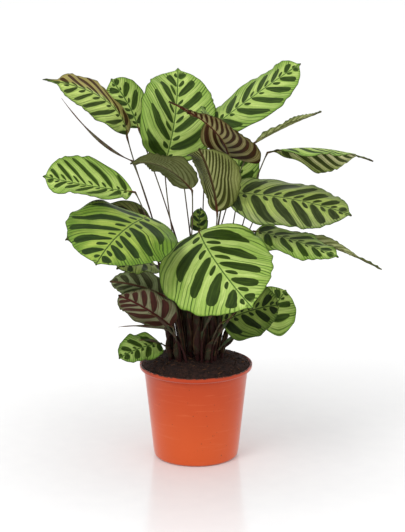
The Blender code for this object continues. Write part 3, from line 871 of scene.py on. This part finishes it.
blades = {item.name: add_blade(item) for item in LEAVES}
print("blade faces:", sum(piece_sizes[f"{name}_leaf"] for name in blades))

# %% [markdown]
# A stalk rises straight out of the soil and bends over to its blade. It is thick and sheathed at
# its foot, slim above, and slightly swollen at the knee where it meets the blade. Both the way it
# takes and its radius are worked out from the few measures in the list.

# %% Stalk paths
STALK_DEPTH = 16 * MM
STALK_FOOT_RADIUS = 2.7 * MM
STALK_SHEATH_RADIUS = 2.0 * MM
STALK_SLIM_RADIUS = 0.8 * MM
STALK_KNEE_RADIUS = 1.4 * MM
SHEATHED, SLIMMING, SWELLING = 0.35, (0.33, 0.5), (0.88, 0.97)
STOUT_LEAST, STOUT_WIDTH = 0.55, 180
STALK_STEPS = 44
STALK_SPACING = 1.35
FOOT_RISE, FOOT_RISE_LEAST, FOOT_DRIFT = 0.3, 20 * MM, 0.15
NECK_DROP, NECK_DROP_MOST, NECK_DRIFT = 0.12, 15 * MM, 0.2
KNEE_LENGTH = 3 * MM
KNEE_CLEARANCE = 0.4 * MM


def stalk_path(item):
    """Straight up out of the soil, a long easy bend, and a short knee to meet the blade's end."""
    bottom = Vector((item.foot[0] * MM, item.foot[1] * MM, SOIL_TOP - STALK_DEPTH))
    foot = Vector((bottom.x, bottom.y, SOIL_TOP + SOIL_HEAP + MM))
    start = midrib_start(item)
    knee = Vector(item.knee) * MM
    if isinstance(item, Leaf):
        knee -= start * KNEE_CLEARANCE + section_frame(item, 0)[2] * MIDRIB_THICKNESS / 2
    neck = knee - start * KNEE_LENGTH
    way = neck - foot
    lean = Vector((item.lean[0] * MM, item.lean[1] * MM, 0))
    rise = max(way.z * FOOT_RISE, FOOT_RISE_LEAST)
    lower = foot + Vector((way.x * FOOT_DRIFT, way.y * FOOT_DRIFT, rise)) + lean
    drop = min(way.z * NECK_DROP, NECK_DROP_MOST)
    upper = neck - start * drop - way * NECK_DRIFT + lean / 2
    steps = [step / STALK_STEPS for step in range(STALK_STEPS + 1)]
    curve = [bezier([foot, lower, upper, neck], 1 - (1 - step) ** STALK_SPACING) for step in steps]
    return [bottom] + curve + [knee]


def stoutness(item):
    """How stout the lower stalk is: full for a broad leaf, about half for a rolled one."""
    return min(STOUT_LEAST + item.width / STOUT_WIDTH, 1.0) if isinstance(item, Leaf) else STOUT_LEAST


def stalk_radius(item, share):
    """Sheathed up to about a third of its height, slim to the knee, a little swollen there."""
    sheath = STALK_FOOT_RADIUS + (STALK_SHEATH_RADIUS - STALK_FOOT_RADIUS) * min(share / SHEATHED, 1)
    sheath *= stoutness(item)
    slim = sheath + (STALK_SLIM_RADIUS - sheath) * ease(share, *SLIMMING)
    return slim + (STALK_KNEE_RADIUS - slim) * ease(share, *SWELLING)


print("points in a stalk's path:", len(stalk_path(LEAVES[0])))

# %% [markdown]
# A curve with its own radius at every point makes a stalk's tube. It becomes a mesh, so that its
# length can be kept as an attribute for the colours. A stalk's last stretch lies along the
# midrib's underside. A leaf that is still rolled up is a swelling on the end of its stalk.

# %% Stalks
TUBE_ROUNDNESS = 4
KNEE_RUN = (0.01, 0.025, 0.045, 0.07)
SPEAR_STEPS = 26
SPEAR_TAIL, SPEAR_TAIL_RADIUS, SPEAR_LEAST_RADIUS = 0.75, 0.3, 0.76 * MM
SPEAR_POINT, SPEAR_POINT_FROM = 0.7, 0.8


def tube_mesh(path, radii, name):
    """The path as a round tube with closed ends, each point knowing its share of the length."""
    curve = bpy.data.curves.new(name, "CURVE")
    curve.dimensions = "3D"
    curve.bevel_depth = 1.0
    curve.bevel_resolution = TUBE_ROUNDNESS
    curve.use_fill_caps = True
    spline = curve.splines.new("POLY")
    spline.points.add(len(path) - 1)
    for point, place, radius in zip(spline.points, path, radii):
        point.co = (*place, 1.0)
        point.radius = radius
    holder = add_object(name, curve)
    bm = bmesh.new()
    bm.from_mesh(applied_mesh(holder))
    bpy.data.objects.remove(holder)
    tree = kdtree.KDTree(len(path))
    for index, place in enumerate(path):
        tree.insert(place, index)
    tree.balance()
    share = closed(bm).verts.layers.float.new("share")
    for vertex in bm.verts:
        vertex[share] = tree.find(vertex.co)[1] / (len(path) - 1)
    return mesh_from(bm, name)


def add_stalk(item):
    path = stalk_path(item)
    radii = [stalk_radius(item, index / (len(path) - 1)) for index in range(len(path))]
    for index, u in enumerate(KNEE_RUN):
        centre, _, face = section_frame(item, u)
        path.append(centre - face * MIDRIB_THICKNESS * 0.5)
        radii.append(STALK_KNEE_RADIUS * (1 - (index + 1) / (len(KNEE_RUN) + 1)))
    return add_piece(f"{item.name}_stem", tube_mesh(path, radii, "stem"), "stalk_brown_green",
                     f"{item.name}_stalk")


def add_roll(item, *nodes):
    """A rolled leaf, which swells from the end of its stalk and is drawn out to a point."""
    path = stalk_path(item)[:-1]
    radii = [stalk_radius(item, index / len(path)) for index in range(len(path))]
    for step in range(SPEAR_STEPS):
        share = step / (SPEAR_STEPS - 1)
        path.append(bezier(midrib_controls(item), share))
        swelling = math.sin(math.pi * share / SPEAR_TAIL) if share < SPEAR_TAIL else SPEAR_TAIL_RADIUS
        point = 1 - ease(share, SPEAR_POINT_FROM, 1.0) * SPEAR_POINT
        radii.append(max(item.radius * MM * swelling, SPEAR_LEAST_RADIUS) * point)
    return add_piece(f"{item.name}_roll", tube_mesh(path, radii, "roll"), "stalk_brown_green", *nodes)


stems = [add_stalk(item) for item in LEAVES]
rolls = [add_roll(item, item.name) for item in SPEARS]
print("stems:", len(stems), "rolled leaves:", len(rolls))

# %% [markdown]
# Young leaves that are still tightly rolled stand low between the stalks and darken the clump.
# They are too thin to need solids of their own, and they are made as the larger rolls are.

# %% Young shoots
SHOOTS = (
    Spear("shoot_right", (19, -24), (25, -30, 158), (49, -40, 196), (0, 0, 3), 2.2, (0, 0)),
    Spear("shoot_right_low", (24, -18), (30, -26, 146), (58, -38, 168), (0, 0, 4), 1.9, (0, 0)),
    Spear("shoot_middle", (7, -26), (9, -32, 170), (27, -38, 204), (0, 0, 2), 2.0, (0, 0)),
    Spear("shoot_left", (-19, -22), (-27, -32, 164), (-58, -44, 196), (0, 0, 4), 2.1, (0, 0)),
    Spear("shoot_left_low", (-29, -8), (-40, -20, 148), (-76, -40, 158), (0, 0, 4), 1.8, (0, 0)),
    Spear("shoot_back", (-2, 36), (-4, 44, 176), (22, 56, 214), (0, 0, 3), 2.0, (0, 0)),
)
rolls += [add_roll(item) for item in SHOOTS]
print("young shoots:", len(SHOOTS))

# %% [markdown]
# Where the stalks leave the soil they are wrapped in their own dark papery sheaths, which fill the
# clump almost solid. Each sheath is a small grid wrapped most of the way round its stalk.
# It stands off a little at its free edges and narrows to a point at the top. Every stalk has
# a short outer sheath and a taller inner one.

# %% Sheaths
SHEATH_ROWS, SHEATH_COLUMNS = 16, 8
SHEATH_GAP = 0.3 * MM
SHEATH_FLARE = 3.2 * MM
SHEATH_WALL = 0.25 * MM
SHEATH_WRAP = math.radians(165)
SHEATH_NARROWING = 0.8
SHEATH_START = 0.05
SHEATH_TOPS = (0.3, 0.46)
SHEATH_HEIGHTS, SHEATH_UNEVENNESS = (0.7, 1.0), (0.8, 1.2)


def path_place(path, share):
    """The point at a share of the path's count of steps, and the way the path runs there."""
    position = share * (len(path) - 1)
    index = min(int(position), len(path) - 2)
    first, second = path[index], path[index + 1]
    return first.lerp(second, position - index), (second - first).normalized()


def add_sheath(bm, edge, item, highest, draw):
    path = stalk_path(item)
    top, turn = draw.uniform(*SHEATH_HEIGHTS) * highest, draw.uniform(0, math.tau)
    grid = bmesh.ops.create_grid(bm, x_segments=SHEATH_ROWS, y_segments=SHEATH_COLUMNS, size=1.0)
    for vertex in grid["verts"]:
        up, round_way = (vertex.co.x + 1) / 2, vertex.co.y
        share = SHEATH_START + (top - SHEATH_START) * up
        centre, along = path_place(path, share)
        first = along.cross(Vector((0, 1, 0))).normalized()
        second = along.cross(first)
        angle = turn + round_way * SHEATH_WRAP * (1 - up ** 3 * SHEATH_NARROWING)
        flare = SHEATH_FLARE * round_way ** 4 * math.sin(math.pi * min(up + 0.1, 1))
        radius = stalk_radius(item, share) + SHEATH_GAP + flare * draw.uniform(*SHEATH_UNEVENNESS)
        vertex.co = centre + (first * math.cos(angle) + second * math.sin(angle)) * radius
        vertex[edge] = max(abs(round_way), up)


sheath_bm = bmesh.new()
edge_layer = sheath_bm.verts.layers.float.new("edge")
draw = random.Random(5)
for item in LEAVES:
    for highest in SHEATH_TOPS:
        add_sheath(sheath_bm, edge_layer, item, highest, draw)
sheaths = add_piece("stalk_sheaths", mesh_from(sheath_bm, "stalk_sheaths"), "stalk_brown_green")
wall = sheaths.modifiers.new("wall", "SOLIDIFY")
wall.thickness = SHEATH_WALL
wall.offset = 0.0
print("sheaths:", len(LEAVES) * len(SHEATH_TOPS), "faces:", piece_sizes["stalk_sheaths"])

# %% [markdown]
# A stem is grey-green and thin above, and dark maroon in the sheath at its foot, where the colour
# is partly its own and partly painted shade at the bottom of the clump. The share of its length,
# kept on every point, blends the two. Streaks run along it, because a stalk is ribbed and not
# smooth. Young shoots are painted darker and greener than the old stalks, partly their own colour
# and partly painted shade low in the clump.

# %% Stem finish
def stem_material(name, pale_dark, pale_light):
    net = Net(name)
    place, share = net.place(), net.kept("share")
    streaks = net.drawn_out(place, (1200, 1200, 60))
    blotches = net.grain(place, 90.0, 3.0)
    # The foot's near-black maroon is partly painted shade at the bottom of the clump.
    sheath = net.blend(streaks, paint(22, 10, 10), paint(62, 26, 24))
    slim = net.layers(pale_dark, (streaks, pale_light),
                      (net.smooth(blotches, 0.4, 0.65), paint(72, 54, 44)))
    knee = net.blend(streaks, paint(64, 36, 30), paint(100, 76, 46))
    colour = net.layers(sheath, (net.smooth(share + (blotches - 0.5) * 0.3, 0.32, 0.56), slim),
                        (net.smooth(share, 0.84, 0.93), knee))
    return net.finish(Normal=net.bump(streaks, 0.3 * MM, 0.4), Base_Color=colour,
                      Roughness=0.48 + blotches * 0.2, Specular_IOR_Level=0.12)


stem_skin = stem_material("stem_skin", paint(66, 66, 48), paint(112, 108, 84))
# The shoots' dark skin is partly painted shade low in the clump.
shoot_skin = stem_material("shoot_skin", paint(26, 36, 22), paint(74, 88, 58))
for piece in stems + rolls:
    young = piece.name.startswith("shoot")
    piece.data.materials.append(shoot_skin if young else stem_skin)
print("stem finish on", len(stems) + len(rolls), "pieces")

# %% [markdown]
# A sheath is thin, dry and darker than the stalk, with veins along it and a paler torn edge; its
# near-black ground is partly its own colour and partly painted shade at the bottom of the clump.
# The veins are noise drawn out along the stalk. An attribute on each point grows to 1 at the free
# edges and the top, which puts the torn colour there and nowhere else.

# %% Sheath finish
net = Net("sheath_skin")
place, edge = net.place(), net.kept("edge")
veins, patches = net.drawn_out(place, (1500, 1500, 50)), net.grain(place, 120.0, 3.0)
torn = net.smooth(edge + (patches - 0.5) * 0.3, 0.86, 1.05) * 0.8
# The near-black ground is partly painted shade at the bottom of the clump.
sheath_colour = net.layers(paint(26, 14, 12), (veins, paint(62, 34, 28)),
                           (net.smooth(patches, 0.42, 0.62) * 0.8, paint(48, 52, 34)),
                           (torn, paint(96, 66, 44)))
sheaths.data.materials.append(net.finish(
    Normal=net.bump(veins, 0.3 * MM, 0.5), Base_Color=sheath_colour,
    Roughness=0.6 + 0.2 * patches, Specular_IOR_Level=0.12))
print("sheath finish:", sheaths.data.materials[0].name)

# %% [markdown]
# The upper side of a peacock leaf is pale yellow-green, like feathers. Long dark green ovals lie
# along the side veins, with a small oval between each two of them close to the midrib. Fine
# dark lines run in from the margin. The underside shows the same figures in maroon, and there they
# are so wide that the pale ground is left as stripes.

# %% Leaf paints
# A row gives the ground, the haze towards the margin, the rims, the ovals and their streaks, the
# fine lines, the midrib and its root. Four numbers follow: how strong the haze is, how fat the
# ovals are as a share of the space between veins, how far out they reach, and the roughness.
Paint = namedtuple("Paint", "ground haze rim oval streak line rib root haze_share fat reach gloss")
COLOURS_IN_ROW = 8


def leaf_paints(rows):
    """The rows by name, with their colours as the light that a shader takes."""
    return {name: Paint(*[paint(*colour) for colour in row[:COLOURS_IN_ROW]], *row[COLOURS_IN_ROW:])
            for name, row in rows.items()}


UPPER_PAINTS = leaf_paints({
    "lime": ((180, 200, 112), (136, 168, 78), (110, 144, 50), (38, 56, 14),
        (62, 86, 26), (60, 88, 30), (66, 94, 36), (84, 34, 22), 0.7, 0.28, 0.8, 0.42),
    "pale": ((186, 208, 118), (154, 184, 80), (120, 156, 54), (36, 54, 10),
        (58, 80, 20), (68, 100, 32), (70, 100, 36), (92, 50, 30), 0.6, 0.3, 0.76, 0.44),
    "green": ((158, 180, 100), (104, 138, 60), (94, 126, 44), (34, 50, 12),
        (56, 76, 24), (50, 74, 26), (56, 80, 30), (78, 34, 24), 0.8, 0.29, 0.8, 0.42),
    # This row is a darker copy of the green paints, as painted shade for a leaf that lies in shade.
    "painted_shade_green": ((124, 144, 68), (86, 112, 44), (76, 100, 34), (20, 30, 8),
        (36, 52, 16), (38, 56, 18), (46, 64, 24), (70, 30, 22), 0.8, 0.3, 0.8, 0.46),
    # This row's greyish haze is a painted sheen; its lower roughness gives a real gloss as well.
    "gloss": ((160, 176, 92), (146, 154, 104), (100, 124, 54), (38, 48, 18),
        (64, 76, 38), (52, 68, 30), (64, 82, 40), (80, 36, 26), 0.9, 0.31, 0.86, 0.3),
    "deep": ((162, 182, 82), (80, 114, 30), (104, 138, 50), (30, 48, 14),
        (50, 72, 24), (44, 68, 24), (52, 76, 30), (72, 32, 24), 0.9, 0.29, 0.84, 0.38),
    "brown": ((116, 124, 66), (86, 82, 46), (78, 92, 40), (34, 32, 14),
        (56, 50, 24), (52, 54, 28), (56, 42, 26), (72, 32, 24), 0.8, 0.32, 0.85, 0.42),
    "cream_green": ((186, 204, 114), (170, 188, 104), (114, 142, 56), (40, 54, 16),
        (64, 78, 30), (66, 86, 34), (66, 82, 36), (84, 38, 26), 0.6, 0.2, 0.99, 0.4),
    "grey": ((168, 172, 126), (146, 150, 108), (112, 120, 70), (88, 94, 56),
        (112, 116, 74), (92, 96, 58), (86, 84, 52), (78, 52, 36), 0.9, 0.24, 0.9, 0.36),
})
UNDER_PAINTS = leaf_paints({
    "tan": ((162, 160, 108), (134, 136, 84), (104, 110, 56), (62, 34, 24),
        (88, 54, 38), (80, 62, 36), (70, 32, 22), (68, 24, 18), 0.8, 0.36, 0.95, 0.46),
    "cream": ((186, 174, 122), (130, 120, 72), (104, 98, 50), (48, 28, 12),
        (84, 48, 26), (84, 60, 34), (80, 30, 22), (88, 26, 22), 0.7, 0.29, 0.99, 0.44),
    "olive": ((134, 138, 96), (110, 114, 70), (92, 98, 50), (80, 82, 44),
        (98, 100, 64), (84, 88, 54), (86, 82, 54), (76, 44, 26), 0.8, 0.17, 0.99, 0.44),
    "striped": ((146, 146, 98), (120, 126, 70), (88, 98, 42), (44, 46, 16),
        (66, 68, 28), (70, 72, 34), (58, 44, 24), (74, 34, 24), 0.8, 0.31, 0.99, 0.46),
    "ivory": ((204, 200, 154), (150, 160, 84), (104, 124, 48), (46, 54, 20),
        (70, 80, 34), (76, 84, 40), (60, 48, 28), (70, 36, 26), 0.7, 0.27, 0.99, 0.44),
    "grey": ((118, 126, 92), (84, 94, 64), (76, 86, 50), (44, 46, 28),
        (62, 64, 42), (64, 68, 42), (64, 44, 32), (66, 32, 26), 0.8, 0.34, 0.92, 0.38),
    "maroon": ((150, 148, 116), (110, 108, 82), (88, 98, 60), (60, 36, 30),
        (88, 48, 38), (76, 44, 32), (74, 30, 26), (66, 24, 20), 0.7, 0.34, 0.95, 0.44),
    # This row is painted shade: a dark underside that stands for the shade among the stalks.
    "painted_shade_under": ((84, 84, 56), (64, 58, 40), (56, 60, 34), (38, 22, 18),
        (54, 34, 28), (46, 38, 26), (50, 26, 20), (46, 20, 16), 0.9, 0.36, 0.95, 0.5),
})
print("leaf paints:", len(UPPER_PAINTS), "upper and", len(UNDER_PAINTS), "under")

# %% [markdown]
# The masks come from three numbers: the vein number, which oval of the row a point is in, and
# how far out from the midrib it lies. An oval is widest past its middle and has a blunt outer
# end. Each one differs a little in length and width, from noise that is read once per vein.

# %% Leaf pattern
OVAL_START = 0.04
OVAL_BLUR_MM = 0.6
OVAL_BLUNTNESS = 0.36
LINES_PER_VEIN = 5
STREAKS_PER_VEIN = 9
LONG_SEED, LINE_SEED, SHORT_SEED = 3.0, 5.0, 7.0


class Pattern:
    """The numbers that a blade's figures are drawn with, from its own map and attribute."""

    def __init__(self, net, look, length):
        self.net, self.look, self.pitch = net, look, length / look.veins
        chart, place = net.node("ShaderNodeUVMap", {"uv_map": "leaf"}, ()), net.place()
        self.along, across = net.part(chart, 0), net.part(chart, 1) * 2 - 1
        self.side = abs(across).least(0.9999)
        self.right = across.above(0.0)
        self.width = net.kept("half_width")
        self.edge = (1 - self.side) * self.width
        fan = FAN_LEAST + (1 - FAN_LEAST) * (self.along / FAN_REACH).least(1.0)
        outwards = self.side * self.width / length
        self.start = self.along - look.sweep * fan * outwards * (SWEEP_STRAIGHT + SWEEP_BENT * self.side)
        wander = (net.grain(place, 24.0, 1.0) - 0.5) * 0.2
        self.number = self.start * look.veins + 0.5 * self.right + look.shift + wander
        self.across, self.own = self.rows(self.number, LONG_SEED)
        self.soft, self.fine = net.grain(place, 60.0, 3.0), net.grain(place, 420.0, 3.0)
        self.streaks = net.grain(net.join(self.number * STREAKS_PER_VEIN, self.side * 2.2, self.right),
                                 1.0, 3.0)

    def rows(self, number, seed):
        """The place across each repeat, from -0.5 to 0.5, and a number that the repeat owns."""
        index = number.floor()
        own = self.net.node("ShaderNodeTexWhiteNoise", {"noise_dimensions": "3D"},
                            (self.net.join(index, self.right, seed),))
        return number - index - 0.5, own

    def oval(self, across, outer, fatness):
        """Inside a long oval that starts beside the midrib and has a blunt outer end."""
        q = ((self.side - OVAL_START) / (outer - OVAL_START)).most(0.0).least(1.0)
        profile = ((4 * q * (1 - q)) ** OVAL_BLUNTNESS) * (0.76 + 0.24 * q) * fatness
        blur = OVAL_BLUR_MM / self.pitch
        return self.net.smooth(profile - abs(across), -blur, blur)

    def ovals(self, colours, under):
        """All dark figures, which end before the tip and start after the knee."""
        net, look = self.net, self.look
        tipward = 1 - net.smooth(self.along, 0.55, 1.0) * 0.3
        outer = colours.reach * (0.9 + 0.2 * self.own) * tipward
        outer = outer * (1 + (look.right_reach - 1) * self.right)
        fatness = (colours.fat + 0.05 * self.own) * (1 + (look.right_fat - 1) * self.right)
        fatness = fatness + 0.16 * (self.soft - 0.5) + 0.1 * (self.streaks - 0.5)
        mask = self.oval(self.across, outer.least(0.99), fatness)
        if not under:
            across, own = self.rows(self.number + 0.5, SHORT_SEED)
            mask = mask.most(self.oval(across, 0.17 + 0.14 * own, 0.12 + 0.05 * own))
        return mask * (net.smooth(self.start, -0.16, -0.09) * net.smooth(self.along, 0.985, 0.93))

    def lines(self):
        """Fine lines that run in from the margin, and the side veins themselves."""
        net = self.net
        across, own = self.rows(self.number * LINES_PER_VEIN + (self.soft - 0.5) * 0.6, LINE_SEED)
        inward = net.smooth(self.side + (own - 0.5) * 0.6, 0.12, 0.8)
        lines = net.smooth(abs(across), 0.26, 0.06) * inward * (0.35 + 0.65 * own)
        vein = net.smooth(abs(self.across), 1.1 / self.pitch, 0.35 / self.pitch)
        return (lines + vein * net.smooth(self.side, 0.99, 0.9) * 0.6).least(1.0)

    def ground(self, colours):
        """The pale ground: hazier outwards, with darker rims, streaks and lines."""
        net = self.net
        haze = net.smooth(self.side + (self.soft - 0.5) * 0.9, 0.25, 1.0) * colours.haze_share
        return net.layers(
            colours.ground, (haze, colours.haze),
            (net.smooth(abs(self.across), 0.47, 0.28) * 0.4, colours.rim),
            (net.smooth(self.streaks, 0.42, 0.72) * 0.6, colours.rim),
            (net.smooth(self.streaks, 0.46, 0.26) * 0.5, colours.ground),
            (net.smooth(self.edge + (self.streaks - 0.5) * 4, 4.5, 0.8) * 0.8, colours.rim),
            (self.lines(), colours.line))


print("fine lines to a side vein:", LINES_PER_VEIN)

# %% [markdown]
# A leaf's skin lays these over one another: the ground, the ovals, the midrib and a thin dark
# edge. On the underside the midrib is broader and its red root is longer. The same streaks
# that colour the ground also lift it a little, which catches the light as the real veins do.

# %% Leaf skin
Side = namedtuple("Side", "under rib_half_mm root_reach edge specular")
UPPER = Side(False, 0.7, 0.14, paint(38, 56, 20), 0.1)
UNDER = Side(True, 1.3, 0.3, paint(46, 46, 24), 0.08)
TONE_LEAST, TONE_SPAN = 0.88, 0.24


def leaf_material(name, look, length, colours, side):
    net = Net(name)
    pattern = Pattern(net, look, length)
    streaks, fine = pattern.streaks, pattern.fine
    ovals, ground = pattern.ovals(colours, side.under), pattern.ground(colours)
    oval = net.blend(net.smooth(streaks, 0.35, 0.8), colours.oval, colours.streak)
    if look.right_brown and not side.under:
        dry = net.smooth(pattern.side, 0.06, 0.3) * pattern.right * look.right_brown
        ground = net.blend(dry, ground, net.blend(streaks, paint(168, 152, 92), paint(110, 82, 44)))
        oval = net.blend(dry, oval, paint(66, 38, 20))
    on_rib = net.smooth(pattern.side * pattern.width, side.rib_half_mm + 0.5, side.rib_half_mm - 0.4)
    rib = net.blend(net.smooth(pattern.along, side.root_reach, 0.0), colours.rib, colours.root)
    colour = net.layers(ground, (ovals, oval), (on_rib, rib),
                        (net.smooth(pattern.edge, 1.1, 0.4) * 0.75, side.edge))
    # The leaf's tone darkens or lightens its colour, with a little random variation; it is partly its
    # own tone and partly painted shade for leaves deep in the clump.
    colour = net.darker(colour, look.tone * TONE_LEAST + look.tone * TONE_SPAN * fine)
    quilt = net.smooth(abs(pattern.across), 0.0, 0.5) * 0.5 + streaks * 0.5 + fine * 0.25
    return net.finish(Normal=net.bump(quilt, 0.6 * MM, 0.55), Base_Color=colour,
                      Roughness=colours.gloss + 0.14 * pattern.soft + 0.05 * ovals,
                      Specular_IOR_Level=side.specular)


for item in LEAVES:
    look, length = LOOKS[item.name], blade_lengths[item.name]
    skins = blades[item.name].data.materials
    skins.append(leaf_material(f"{item.name}_upper", look, length, UPPER_PAINTS[look.upper], UPPER))
    skins.append(leaf_material(f"{item.name}_under", look, length, UNDER_PAINTS[look.under], UNDER))
print("leaf materials:", 2 * len(blades))
